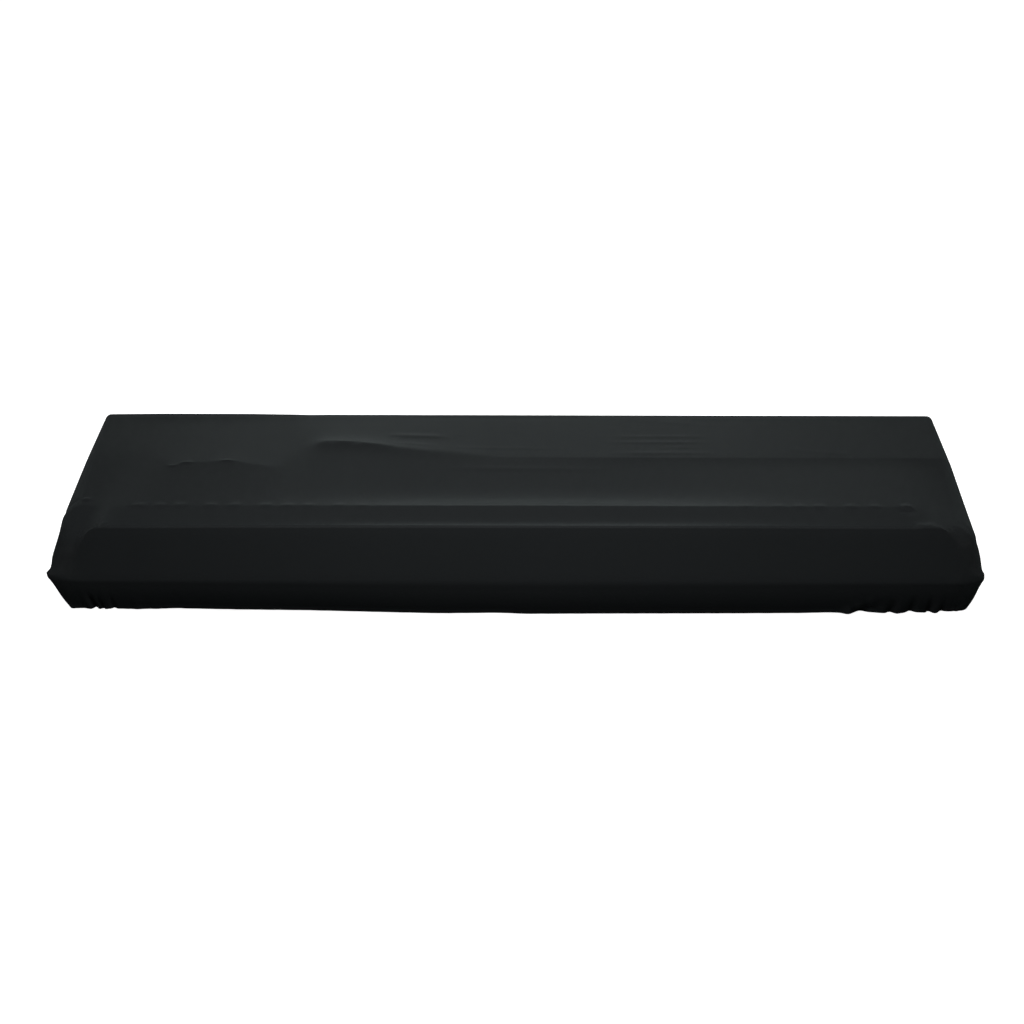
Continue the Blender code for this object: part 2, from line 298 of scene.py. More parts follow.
def knob_lift(x, y, knobs):
    """Sum of round bumps, each of its own height, width along X and length along Y."""
    lift = np.zeros_like(x)
    for knob in knobs:
        lift += knob["lift"] * bump(x, knob["x"], knob["wide"]) * bump(y, knob["y"], knob["long"])
    return lift


print("most that the step's line is lifted, metres:", column(STEP_LINE, "lift").max())

# %% [markdown]
# The black keys
#
# Their tips are what the second ridge rests on, in the piano's own groups of three and two.
# At both ends of the row each tip shows as a small dash, because the cloth dips between
# them. In the middle the cloth is pulled so straight that the row is nearly a line. The
# key places come from the octave, and a table says how much they show along the row.

# %% Black-key tips
OCTAVE = 0.1645
OCTAVE_KEYS = (0.0, 0.0275, 0.053, 0.093, 0.123)
FIRST_KEY, KEY_COUNT = -0.486, 31
KEY_HALF = 0.0075
KEY_FRONT, KEY_BEHIND = 0.0060, 0.0080
KEY_SHOW = [
    dict(x=-0.50, lift=0.0009), dict(x=-0.30, lift=0.0008), dict(x=-0.15, lift=0.0002),
    dict(x=0.20, lift=0.0002), dict(x=0.36, lift=0.0006), dict(x=0.49, lift=0.0008),
    dict(x=0.50, lift=0.0014),
]
octave, key_of_octave = np.divmod(np.arange(KEY_COUNT), len(OCTAVE_KEYS))
key_places = FIRST_KEY + OCTAVE * octave + np.array(OCTAVE_KEYS)[key_of_octave]
print("black keys:", len(key_places), "from", key_places[0], "to", round(key_places[-1], 4))


def key_lift(x, u):
    """Tips under the second ridge, u behind it: flat-topped bumps, short in front, long behind.

    Along the row each is e to the minus (distance over half width) to the fourth, and across
    it e to the minus (u over its reach) squared.
    """
    along = np.zeros_like(x)
    lifts = np.interp(key_places, column(KEY_SHOW, "x"), column(KEY_SHOW, "lift"))
    for middle, lift in zip(key_places, lifts):
        along += lift * np.exp(-((x - middle) / KEY_HALF) ** 4)
    reach = np.where(u < 0, KEY_FRONT, KEY_BEHIND)
    return along * np.exp(-(u / reach) ** 2)


# %% [markdown]
# Creases
#
# Here and there the taut cloth still wrinkles: long flat wrinkles on the panel, a pull
# behind the dial, and short sharp ones where it stretches over the corners of the key block.
# Each is a stroke from one place to another with a height and a width, negative for a
# trough. They are listed one by one, because a noise would give the cloth wrinkles everywhere.

# %% Creases of the top
CREASES = [
    # Behind the dial
    dict(x0=-0.178, y0=0.110, x1=-0.100, y1=0.107, wide=0.0080, lift=0.00065),
    dict(x0=-0.092, y0=0.116, x1=-0.066, y1=0.117, wide=0.0040, lift=0.0001),
    dict(x0=-0.170, y0=0.078, x1=-0.110, y1=0.071, wide=0.0050, lift=0.0002),
    dict(x0=-0.100, y0=0.066, x1=0.060, y1=0.064, wide=0.0045, lift=0.00015),
    # Flat wrinkles on the panel
    dict(x0=0.135, y0=0.1112, x1=0.262, y1=0.1118, wide=0.0045, lift=0.00030),
    dict(x0=0.128, y0=0.0884, x1=0.258, y1=0.0890, wide=0.0045, lift=0.00030),
    dict(x0=0.135, y0=0.0472, x1=0.265, y1=0.0475, wide=0.0060, lift=0.00030),
    dict(x0=0.200, y0=0.0690, x1=0.250, y1=0.0700, wide=0.0045, lift=0.00010),
    dict(x0=0.145, y0=0.180, x1=0.250, y1=0.166, wide=0.0035, lift=0.00010),
    dict(x0=0.190, y0=0.170, x1=0.310, y1=0.150, wide=0.0035, lift=0.00010),
    dict(x0=0.366, y0=0.065, x1=0.410, y1=0.052, wide=0.0060, lift=0.00012),
    dict(x0=0.405, y0=0.053, x1=0.455, y1=0.047, wide=0.0060, lift=0.00012),
    # Along the back edge and in front of the step
    dict(x0=-0.560, y0=0.195, x1=-0.330, y1=0.200, wide=0.0250, lift=0.0009),
    dict(x0=-0.182, y0=0.185, x1=0.116, y1=0.183, wide=0.0040, lift=-0.0002),
    dict(x0=-0.090, y0=-0.008, x1=0.110, y1=-0.008, wide=0.0070, lift=0.00030),
    # Over the corners of the key block
    dict(x0=0.503, y0=-0.142, x1=0.513, y1=-0.156, wide=0.0040, lift=0.0003),
    dict(x0=0.505, y0=-0.198, x1=0.535, y1=-0.195, wide=0.0100, lift=0.0013),
    dict(x0=-0.529, y0=-0.196, x1=-0.517, y1=-0.184, wide=0.0035, lift=0.0003),
]

# Shares of a crease's length over which it fades in and out
FADE_IN, FADE_OUT = (-0.15, 0.30), (0.70, 1.15)


def stroke(x, y, crease):
    """Height of one crease: a bump across it, faded out at both ends of its length.

    Across is the distance from its line, and along runs from 0 to 1 over its length. The
    bump is e to the minus (across over width) squared.
    """
    run_x, run_y = crease["x1"] - crease["x0"], crease["y1"] - crease["y0"]
    length = np.hypot(run_x, run_y)
    along = ((x - crease["x0"]) * run_x + (y - crease["y0"]) * run_y) / length ** 2
    across = ((x - crease["x0"]) * run_y - (y - crease["y0"]) * run_x) / length
    fade = ramp(along, *FADE_IN) * (1 - ramp(along, *FADE_OUT))
    return crease["lift"] * np.exp(-(across / crease["wide"]) ** 2) * fade


print("creases placed by hand:", len(CREASES))

# %% [markdown]
# The top as one height for every place
#
# Now the pieces go together. Three runs of cloth hang between the four lines, and the corners
# at the two middle lines are eased. The keys, knobs and creases are added last.

# %% Height of the top
def line_places(x):
    """How far back the black keys' line and the step's line lie at each x."""
    return rounded(x, BLACK_KEYS, "y", LINE_ROUND), rounded(x, STEP_LINE, "y", LINE_ROUND)


def top_height(x, y):
    """Height of the cloth over the plan.

    It is the hanging run that the place lies in, plus what eases the corners at the two
    middle lines, plus the key tips, the knobs and the creases.
    """
    y_black, y_step = line_places(x)
    z_white = rounded(x, WHITE_KEYS, "z", LINE_ROUND)
    z_black = rounded(x, BLACK_KEYS, "z", LINE_ROUND)
    lift, tilt, fall = (rounded(x, STEP_LINE, key, LINE_ROUND) for key in ("lift", "tilt", "fall"))
    z_step = STEP_Z + PANEL_SLOPE * (y_step - STEP_Y) + lift
    slack = rounded(x, SLACK, "share", SLACK_ROUND)

    front, _, front_end = hang(y, (LINE_Y[0], z_white), (y_black, z_black),
                               WHITE_DIP * slack, WHITE_REACH)
    middle, start, end = hang(y, (y_black, z_black), (y_step, z_step),
                              BLACK_DIP * slack, BLACK_REACH, fall, FALL_REACH)
    rear, rear_start, _ = hang(y, (y_step, z_step), (LINE_Y[3], BACK_Z), tilt, TILT_REACH)
    z = np.where(y < y_black, front, np.where(y < y_step, middle, rear))
    z = z + eased(y - y_black, front_end, start, rounded(x, BLACK_KEYS, "soft", LINE_ROUND))
    z = z + eased(y - y_step, end, rear_start, rounded(x, STEP_LINE, "soft", LINE_ROUND))

    z = z + key_lift(x, y - y_black) + knob_lift(x, y, KNOBS)
    return z + sum(stroke(x, y, crease) for crease in CREASES)


sample_height = top_height(np.array([0.0]), np.array([0.1]))[0]
print("height on the middle of the panel, metres:", round(float(sample_height), 4))

# %% [markdown]
# A grid for the top
#
# A rectangle's grid has to fit inside a plan with round corners. A blended patch does that:
# the four border curves fade into each other, and the lines inside follow them. The rows
# lie on the ridges and crowd close to them; the columns crowd where the small forms are.

# %% Places of the grid lines
# Steps between the columns, where x is a share of the half length
COLUMN_STEPS = [
    dict(x=-1.00, step=0.0017), dict(x=-0.90, step=0.0018), dict(x=-0.85, step=0.0032),
    dict(x=-0.30, step=0.0036), dict(x=-0.12, step=0.0075), dict(x=0.48, step=0.0075),
    dict(x=0.60, step=0.0045), dict(x=0.90, step=0.0024), dict(x=1.00, step=0.0017),
]

# Steps between the rows, where y counts the lines: 0 the front edge, 1 the black keys,
# 2 the step and 3 the back edge
ROW_STEPS = [
    dict(y=0.0, step=0.0013), dict(y=0.35, step=0.0044), dict(y=0.75, step=0.0044),
    dict(y=1.0, step=0.0010),
    dict(y=1.15, step=0.0040), dict(y=1.7, step=0.0058), dict(y=1.85, step=0.0040),
    dict(y=2.0, step=0.0012),
    dict(y=2.1, step=0.0034), dict(y=2.6, step=0.0046), dict(y=2.9, step=0.0044),
    dict(y=3.0, step=0.0016),
]


def grid_fractions():
    """Fractions along X and Y of the grid's columns and rows, from 0 to 1.

    The rows are spread one field at a time, so that each line has a row of its own.
    """
    reach = HALF_X - ROUND_SIDE_FRONT - TURN * TOP_CORNER
    columns = spread([dict(x=row["x"] * reach, step=row["step"]) for row in COLUMN_STEPS], "x")
    rows = []
    for n in range(len(LINE_Y) - 1):
        part = [dict(y=np.interp(row["y"], np.arange(len(LINE_Y)), LINE_Y), step=row["step"])
                for row in ROW_STEPS if n <= row["y"] <= n + 1]
        rows.append(spread(part, "y")[:-1])
    rows = np.append(np.concatenate(rows), LINE_Y[-1])
    return (columns + reach) / (2 * reach), (rows - LINE_Y[0]) / (LINE_Y[-1] - LINE_Y[0])


def border(along, low, high, r_low, r_high):
    """Inset of a rounded rectangle's side at each place along it, and its normal's lean.

    The lean is how far into a round corner the place is, over the corner's radius. The inset
    is the radius times (1 less the root of (1 less lean squared)).
    """
    lean_low = np.clip(low + r_low - along, 0, None) / r_low
    lean_high = np.clip(along - high + r_high, 0, None) / r_high
    inset = r_low * (1 - np.sqrt(1 - lean_low ** 2)) + r_high * (1 - np.sqrt(1 - lean_high ** 2))
    return inset, lean_high - lean_low


def top_grid(fx, fy):
    """Plan of the top: a patch blended from its four border curves.

    A place is the blend of the two sides plus the blend of the front and the back, less the
    blend of the four corners, which the first two have both counted.
    """
    half_front, half_back = HALF_X - ROUND_SIDE_FRONT, HALF_X - ROUND_SIDE_BACK
    low, high = Y_FRONT + ROUND_CHEEK, Y_BACK - ROUND_BACK

    x_front = (2 * fx - 1) * (half_front - TURN * TOP_CORNER)
    inset, _ = border(x_front, -half_front, half_front, TOP_CORNER, TOP_CORNER)
    turn_front = ROUND_KEYS + (ROUND_CHEEK - ROUND_KEYS) * ramp(np.abs(x_front), *CHEEK_START)
    y_front = Y_FRONT + turn_front + inset

    x_back = (2 * fx - 1) * (half_back - TURN * TOP_CORNER)
    inset, _ = border(x_back, -half_back, half_back, TOP_CORNER, TOP_CORNER)
    y_back = high - inset

    y_first, y_last = low + TURN * TOP_CORNER, high - TURN * TOP_CORNER
    y_side = y_first + (y_last - y_first) * fy
    inset, _ = border(y_side, low, high, TOP_CORNER, TOP_CORNER)
    x_side = half_front + (half_back - half_front) * fy - inset

    u, v = fx[None, :], fy[:, None]
    across = (2 * u - 1) * x_side[:, None]
    along = (1 - v) * x_front[None, :] + v * x_back[None, :]
    corners = (2 * u - 1) * ((1 - v) * x_front[-1] + v * x_back[-1])
    x = across + along - corners
    y = y_side[:, None] + (1 - v) * (y_front[None, :] - y_first) + v * (y_back[None, :] - y_last)
    return x, follow_lines(x, y)


def follow_lines(x, y):
    """Rows moved so that the two middle lines lie on rows.

    Each line's own shift fades evenly to nothing at the lines before and behind it.
    """
    moved = y.copy()
    for n, line in zip((1, 2), line_places(x)):
        before = (y - LINE_Y[n - 1]) / (LINE_Y[n] - LINE_Y[n - 1])
        behind = (LINE_Y[n + 1] - y) / (LINE_Y[n + 1] - LINE_Y[n])
        moved += np.clip(np.minimum(before, behind), 0, 1) * (line - LINE_Y[n])
    return moved


fx, fy = grid_fractions()
print("grid of the top:", len(fx), "columns by", len(fy), "rows")

# %% [markdown]
# Where the walls stand
#
# The border of that grid, once round, is where the skirt hangs from. The walls stand a
# rounding further out and have wider corners, so each border point gets a partner on the
# wall's own outline, and the direction that is outward there.

# %% Outline of the walls
def loop_of(grid):
    """The border of a grid of values, once round anticlockwise from its front left."""
    return np.concatenate([grid[0, :-1], grid[:-1, -1], grid[-1, :0:-1], grid[:0:-1, 0]])


def wall_loop(x, y):
    """Top of the walls round the border of the top's grid, and the outward normals there.

    Each wall keeps the spacing of the border's own points, stretched evenly to the middles
    of the wall's round corners, and in front only past the key block.
    """
    x_top = x[0]
    reach = HALF_X - TURN * CORNER_FRONT
    widen = (reach - x_top[-1]) / (x_top[-1] - BLOCK_END)
    past = np.clip(np.abs(x_top) - BLOCK_END, 0, None)
    x_front = x_top + np.sign(x_top) * past * widen
    inset, lean = border(x_front, -HALF_X, HALF_X, CORNER_FRONT, CORNER_FRONT)
    front = [x_front, Y_FRONT + inset, lean, -np.sqrt(1 - lean ** 2)]

    x_back = (2 * fx - 1) * (HALF_X - TURN * CORNER_BACK)
    inset, lean = border(x_back, -HALF_X, HALF_X, CORNER_BACK, CORNER_BACK)
    back = [x_back, Y_BACK - inset, lean, np.sqrt(1 - lean ** 2)]

    first, last = Y_FRONT + TURN * CORNER_FRONT, Y_BACK - TURN * CORNER_BACK
    sides = []
    for side, y_top in ((1, y[:, -1]), (-1, y[:, 0])):
        y_side = first + (last - first) * (y_top - y_top[0]) / (y_top[-1] - y_top[0])
        inset, lean = border(y_side, Y_FRONT, Y_BACK, CORNER_FRONT, CORNER_BACK)
        sides.append([side * (HALF_X - inset), y_side, side * np.sqrt(1 - lean ** 2), lean])
    right, left = sides
    once_round = [np.concatenate([f[:-1], r[:-1], b[:0:-1], l[:0:-1]])
                  for f, r, b, l in zip(front, right, back, left)]
    return np.stack(once_round[:2], axis=1), np.stack(once_round[2:], axis=1)


top_x, top_y = top_grid(fx, fy)
wall_plan, outward = wall_loop(top_x, top_y)
print("points round the walls:", len(wall_plan))

# %% [markdown]
# The lower edge, the band and the hem
#
# Below the walls the cloth turns under at a lower edge and is drawn in by the elastic. The
# lower edge is crisp near the ends and soft in the middle, where it also sags. The hem's rim
# rises towards both ends and wavers a little, and the table of its height says how. At the
# back it is drawn in further than the corners are round, so there a part of the way in is a
# plain pull forwards, which keeps the rim from folding over itself.

# %% Sizes of the skirt
EDGE_Z, EDGE_SAG = 0.053, 0.0025
EDGE_ROUND_END, EDGE_ROUND_MIDDLE = 0.003, 0.006
MIDDLE_HALF = 0.55
BAND_BULGE = 0.003
HEM_IN_FRONT, HEM_IN_SIDE, HEM_IN_BACK = 0.028, 0.0165, 0.013
BACK_PULL, BACK_PULL_REACH = 0.011, 0.080
HEM_TALL, HEM_TUCK, HEM_PROUD = 0.004, 0.003, 0.0004

# Height of the rim along X
HEM_LINE = [
    dict(x=-0.60, z=0.0070), dict(x=-0.546, z=0.0060), dict(x=-0.537, z=0.0030),
    dict(x=-0.525, z=0.0058), dict(x=-0.50, z=0.0050), dict(x=-0.47, z=0.0052),
    dict(x=-0.44, z=0.0064), dict(x=-0.40, z=0.0056), dict(x=-0.36, z=0.0049),
    dict(x=-0.27, z=0.0042), dict(x=-0.16, z=0.0018), dict(x=-0.10, z=0.0006),
    dict(x=-0.02, z=0.0016), dict(x=0.01, z=0.0002), dict(x=0.12, z=0.0010),
    dict(x=0.28, z=0.0018), dict(x=0.37, z=0.0026), dict(x=0.40, z=0.0036),
    dict(x=0.43, z=0.0026), dict(x=0.455, z=0.0042), dict(x=0.48, z=0.0020),
    dict(x=0.508, z=0.0042), dict(x=0.53, z=0.0032), dict(x=0.555, z=0.0056),
    dict(x=0.60, z=0.0075),
]
HEM_ROUND = 0.008

# The pinched tips over the two front lower corners, and a soft swelling above the left one.
# Angle and spread are degrees round the corner, from the end wall towards the front
EARS = [
    dict(side=-1, reach=0.0122, angle=40, spread=17, z=0.0600, above=0.0045, below=0.0185),
    dict(side=1, reach=0.0088, angle=40, spread=17, z=0.0600, above=0.0075, below=0.0185),
    dict(side=-1, reach=0.0028, angle=15, spread=25, z=0.0780, above=0.0180, below=0.0220),
]
print("lower edge", EDGE_Z, "metres up, rim at most", column(HEM_LINE, "z").max(), "metres up")

# %% [markdown]
# Pleats
#
# Elastic gathers whatever cloth is left over, most of all at the corners. A pleat starts at
# the rim and dies away up the band. The deep ones near the front corners are a table, and a
# few mixed waves, which never repeat evenly, serve the rest of the way round.

# %% Pleats of the band
# x is where a pleat starts at the rim, lean how far to the right of that it ends, deep how
# far it goes in (or out, where negative), and up the share of the band's height that it takes
PLEATS = [
    dict(x=-0.5465, lean=-0.008, wide=0.0030, deep=-0.0022, up=0.60),
    dict(x=-0.5425, lean=-0.009, wide=0.0030, deep=0.0085, up=0.70),
    dict(x=-0.5325, lean=-0.004, wide=0.0026, deep=0.0050, up=0.60),
    dict(x=-0.5255, lean=-0.003, wide=0.0024, deep=0.0018, up=0.45),
    dict(x=-0.5180, lean=-0.002, wide=0.0028, deep=0.0040, up=0.60),
    dict(x=0.4255, lean=0.085, wide=0.0065, deep=-0.0045, up=0.66),
    dict(x=0.4420, lean=0.080, wide=0.0080, deep=0.0070, up=0.55),
    dict(x=0.4800, lean=0.008, wide=0.0045, deep=0.0055, up=0.50),
    dict(x=0.4890, lean=0.010, wide=0.0035, deep=-0.0016, up=0.50),
    dict(x=0.5060, lean=0.006, wide=0.0050, deep=0.0058, up=0.60),
    dict(x=0.5300, lean=-0.002, wide=0.0030, deep=0.0075, up=0.60),
    dict(x=0.5385, lean=0.005, wide=0.0028, deep=-0.0028, up=0.50),
    dict(x=0.5460, lean=0.002, wide=0.0028, deep=0.0030, up=0.35),
]
GATHER_WAVES = [
    dict(pitch=0.0340, deep=0.0009, start=0.4),
    dict(pitch=0.0213, deep=0.0006, start=1.9),
    dict(pitch=0.0127, deep=0.0004, start=3.1),
]

# Share of the waves' depth in the middle, and where along X they grow to their full depth
GATHER_MIDDLE, GATHER_CROWD = 0.15, (0.40, 0.56)


def pleat_depth(x, along, normal, fall):
    """How far the band is pushed in: rows are rings, fall their way down it from 0 to 1.

    A front pleat is a bump about a line that leans from the rim, and grows with the fall.
    The waves run along the hem and grow with the square of the fall.
    """
    front = np.clip(-normal[:, 1], 0, 1) ** 2
    depth = np.zeros((len(fall), len(x)))
    for pleat in PLEATS:
        line = pleat["x"] + pleat["lean"] * (1 - fall[:, None])
        grow = ramp(fall[:, None], 1 - pleat["up"], 1.0)
        depth += pleat["deep"] * bump(x[None, :], line, pleat["wide"]) * grow * front
    crowd = GATHER_MIDDLE + (1 - GATHER_MIDDLE) * ramp(np.abs(x), *GATHER_CROWD)
    waves = sum(wave["deep"] * np.sin(2 * np.pi * along / wave["pitch"] + wave["start"])
                for wave in GATHER_WAVES)
    return depth + waves * crowd * fall[:, None] ** 2


print("pleats placed by hand:", len(PLEATS))

# %% [markdown]
# The turn out of the top
#
# The skirt is a profile carried round the outline: a turn out of the top, a straight wall, a
# small turn at the lower edge, the band, and the rolled hem. Every ring has one point for
# each point of the top's border, so the rings join the grid without a seam. The first rings
# bend the cloth, from the slope that it has at the border, until it hangs upright.

# %% Rings of the turn
# How far in the fall of the top is measured, the least and the most fall that the turn
# follows, and how much of the height above the lower edge it may take
FALL_STEP = 0.002
LEAST_FALL, MOST_FALL, MOST_DEEP = -0.2, 0.80, 0.75
TURN_RINGS = 4


def place(plan, z):
    """Points from their places in plan and their heights."""
    return np.concatenate([plan, z[..., None]], axis=-1)


def fall_outward(points, normal):
    """How much the top falls per metre towards the wall, at each point of its border."""
    inner = points[:, :2] - normal * FALL_STEP
    return (top_height(inner[:, 0], inner[:, 1]) - points[:, 2]) / FALL_STEP


def turn_rings(top, wall, normal):
    """Rings from the top's border to the top of the walls.

    The turn is the curve that three points draw, weighted (1-t)^2, sqrt(2)*t*(1-t) and t^2
    over their sum: a quarter circle on a level top, and a flatter one where there is little
    height to turn in.
    """
    drop = np.sum((wall - top[:, :2]) * normal, axis=1)
    fall = np.clip(fall_outward(top, normal), LEAST_FALL, MOST_FALL)
    t = np.linspace(0, 1, TURN_RINGS + 1)[1:, None]
    shares = (1 - t) ** 2, np.sqrt(2) * t * (1 - t), t ** 2
    total = sum(shares)
    out = ((shares[1] + shares[2]) / total)[..., None]
    full = drop * (1 + fall / 2)
    deep = np.minimum(full, MOST_DEEP * (top[:, 2] - EDGE_Z))
    down = (shares[1] * drop * fall * deep / full + shares[2] * deep) / total
    return place(top[:, :2] + (wall - top[:, :2]) * out, top[:, 2] - down)


print("rings in the turn:", TURN_RINGS)

# %% [markdown]
# The wall, the band and the rolled hem
#
# Below the turn the rings are straight runs with a little belly in them, because taut cloth
# is never as flat as a board. Values that differ from wall to wall are blended round the
# corners by the outward normal, so no edge shows where one wall meets the next.

# %% Rings of the wall, the band and the hem
# How far down its own stretch each ring lies, from 0 to 1
WALL_STEPS = (0.2, 0.45, 0.68, 0.86, 1.0)
EDGE_RINGS = 3
BAND_STEPS = (0.15, 0.32, 0.5, 0.68, 0.85, 1.0)
HEM_STEPS = (0.35, 0.7, 1.0)


def by_side(normal, front, side, back):
    """A value that differs by wall, blended round the corners by the normal."""
    facing = normal[:, 1]
    return side * (1 - facing ** 2) + np.where(facing < 0, front, back) * facing ** 2


def rim_points(wall, normal, flare):
    """Top of the hem: in from the lower edge, and pulled forwards along the back."""
    inward = by_side(normal, HEM_IN_FRONT, HEM_IN_SIDE, HEM_IN_BACK)
    plan = wall + normal * (flare - inward)[:, None]
    plan[:, 1] -= BACK_PULL * ramp(wall[:, 1], Y_BACK - BACK_PULL_REACH, Y_BACK - CORNER_BACK)
    return place(plan, rounded(wall[:, 0], HEM_LINE, "z", HEM_ROUND) + HEM_TALL)


def wall_rings(upper, lower, rim, normal, out, middle):
    """Rings down the wall and round the lower edge.

    The wall is a straight run with a belly of 4*t*(1-t) on the end walls. The edge is the
    curve that three points draw, weighted (1-t)^2, 2*t*(1-t) and t^2.
    """
    turn = (EDGE_ROUND_END + (EDGE_ROUND_MIDDLE - EDGE_ROUND_END) * middle)[:, None]
    before = lower + (upper - lower) * turn / (upper - lower)[:, 2:]
    after = lower + (rim - lower) * turn / np.linalg.norm(rim - lower, axis=1)[:, None]
    bulge = by_side(normal, 0, SIDE_BULGE, 0)[:, None]
    t = np.array(WALL_STEPS)[:, None, None]
    straight = upper + (before - upper) * t + out * bulge * 4 * t * (1 - t)
    t = np.linspace(0, 1, EDGE_RINGS + 1)[1:, None, None]
    edge = (1 - t) ** 2 * before + 2 * t * (1 - t) * lower + t ** 2 * after
    return np.concatenate([straight, edge])


def band_rings(start, rim, out, depth):
    """Rings down the band and round the hem.

    The band is a straight run with a belly of 4*t*(1-t), less the depth of the pleats. The
    hem goes straight down, stands out by half a sine wave and tucks in evenly.
    """
    t = np.array(BAND_STEPS)[:, None, None]
    band = start + (rim - start) * t + out * (BAND_BULGE * 4 * t * (1 - t) - depth[..., None])
    t = np.array(HEM_STEPS)[:, None, None]
    roll = HEM_PROUD * np.sin(np.pi * t) - HEM_TUCK * t
    hem = band[-1] + out * roll - np.array([0, 0, 1]) * HEM_TALL * t
    return np.concatenate([band, hem])


def skirt(top, wall, normal, along):
    """Points of all the rings, shaped (rings, points round, 3).

    Middle is 1 in the middle of the front and the back, and falls to 0 at their ends.
    """
    middle = np.clip(1 - (wall[:, 0] / MIDDLE_HALF) ** 2, 0, 1) ** 2 * normal[:, 1] ** 2
    out = place(normal, np.zeros(len(normal)))
    flare = by_side(normal, FRONT_FLARE, SIDE_FLARE, BACK_FLARE)
    lower = place(wall + normal * flare[:, None], EDGE_Z - EDGE_SAG * middle)
    rim = rim_points(wall, normal, flare)

    turned = turn_rings(top, wall, normal)
    walls = wall_rings(turned[-1], lower, rim, normal, out, middle)
    depth = pleat_depth(wall[:, 0], along, normal, np.array(BAND_STEPS))
    return np.concatenate([turned, walls, band_rings(walls[-1], rim, out, depth)])


def ear_push(points, normal):
    """How far the pinched tips stand out: a bump round the corner times one up the wall.

    The one up the wall is e to the minus (distance over size) to the power of 1.5, which is
    a little sharper than a round bump.
    """
    angle = np.degrees(np.arctan2(-normal[:, 1], np.abs(normal[:, 0])))
    push = np.zeros(points.shape[:2])
    for ear in EARS:
        side = (np.sign(normal[:, 0]) == ear["side"]) * bump(angle, ear["angle"], ear["spread"])
        rise = points[..., 2] - ear["z"]
        size = np.where(rise > 0, ear["above"], ear["below"])
        push += ear["reach"] * side * np.exp(-np.abs(rise / size) ** 1.5)
    return push


print("rings below the turn:", len(WALL_STEPS) + EDGE_RINGS + len(BAND_STEPS) + len(HEM_STEPS))

# %% [markdown]
# One mesh out of the grid and the rings
#
# The mesh is built once from the arrays. Its cloth map lays the top flat and folds the walls
# out around it, in metres, so that the knit keeps its size everywhere. Solidify then gives
# the cloth its thickness, inwards, because the sizes above are its outer face.

# %% Build the cloth
CLOTH, HEM_CLOTH = 0.0016, 0.0026


def cover_arrays(x, y, wall, normal):
    """Points, quads and cloth map of the outer face, and the indices of the hem's points.

    On the cloth map the top keeps its plan. A point of the skirt lies out from the border
    by the length of cloth that runs down to it.
    """
    top = place(np.stack([x, y], axis=2), top_height(x, y))
    index = np.arange(x.size).reshape(x.shape)
    quads = np.stack([index[:-1, :-1], index[:-1, 1:], index[1:, 1:], index[1:, :-1]], axis=2)

    loop = loop_of(index)
    border_points = top.reshape(-1, 3)[loop]
    steps = np.linalg.norm(np.diff(wall, axis=0, append=wall[:1]), axis=1)
    rings = skirt(border_points, wall, normal, np.cumsum(steps) - steps[0])
    rings[..., 0] += np.sign(normal[:, 0]) * ear_push(rings, normal)

    ring_index = x.size + np.arange(rings[..., 0].size).reshape(rings.shape[:2])
    upper = np.vstack([loop[None, :], ring_index[:-1]])
    skirt_quads = np.stack([upper, ring_index, np.roll(ring_index, -1, 1),
                            np.roll(upper, -1, 1)], axis=2)

    chain = np.concatenate([border_points[None], rings])
    down = np.cumsum(np.linalg.norm(np.diff(chain, axis=0), axis=2), axis=0)
    flat = border_points[None, :, :2] + normal[None] * down[..., None]
    points = np.concatenate([top.reshape(-1, 3), rings.reshape(-1, 3)])
    faces = np.concatenate([quads.reshape(-1, 4), skirt_quads.reshape(-1, 4)])
    cloth_map = np.concatenate([top.reshape(-1, 3)[:, :2], flat.reshape(-1, 2)])
    return points, faces, cloth_map, ring_index[-len(HEM_STEPS):].ravel()


def smooth_mesh(name, points, faces, cloth_map):
    """A smooth mesh from its points and faces, with its cloth map."""
    mesh = bpy.data.meshes.new(name)
    mesh.from_pydata(points.tolist(), [], faces.tolist())
    layer = mesh.uv_layers.new(name="cloth_map")
    corners = np.empty(len(mesh.loops), dtype=np.int32)
    mesh.loops.foreach_get("vertex_index", corners)
    layer.data.foreach_set("uv", cloth_map[corners].astype(np.float32).ravel())
    mesh.update()
    mesh.shade_smooth()
    return mesh


points, faces, cloth_map, hem_points = cover_arrays(top_x, top_y, wall_plan, outward)
mesh = smooth_mesh("cover_cloth", points, faces, cloth_map)
cover = bpy.data.objects.new("cover_cloth", mesh)
bpy.context.scene.collection.objects.link(cover)

# The hem gets the full thickness, and the rest of the cloth its own share of it
hem_group = cover.vertex_groups.new(name="hem")
hem_group.add(hem_points.tolist(), 1.0, "REPLACE")
shell = cover.modifiers.new("cloth", "SOLIDIFY")
shell.thickness = HEM_CLOTH
shell.offset = -1.0
shell.vertex_group = hem_group.name
shell.thickness_vertex_group = CLOTH / HEM_CLOTH
print("cloth:", len(mesh.vertices), "points,", len(mesh.polygons), "quads on its outer face")

# %% [markdown]
# The black knit
#
# Black cloth is a very dark matt ground with a haze of smooth fibres that catch the light
# where it is seen edge on. A plain gloss would be far too bright there. So the ground has no
# gloss of its own, and the haze is a thin coat that hardly bends the light. The knit itself
# is a fine bump of ribs and rows on the cloth map, and two noises vary the dye a little.

# %% Material of the cloth
GROUND = (0.0092, 0.0102, 0.0107, 1)
GROUND_LIGHT = (0.0108, 0.0119, 0.0125, 1)
HAZE_WEIGHT, HAZE_ROUGHNESS, HAZE_INDEX = 0.25, 0.30, 1.135
RIB_PITCH, ROW_PITCH = 0.00085, 0.00070
ROW_SHARE = 0.4
KNIT_DEPTH = 0.00008
CLOUD, FLECK = dict(Scale=7, Detail=3.0), dict(Scale=900, Detail=1.0)


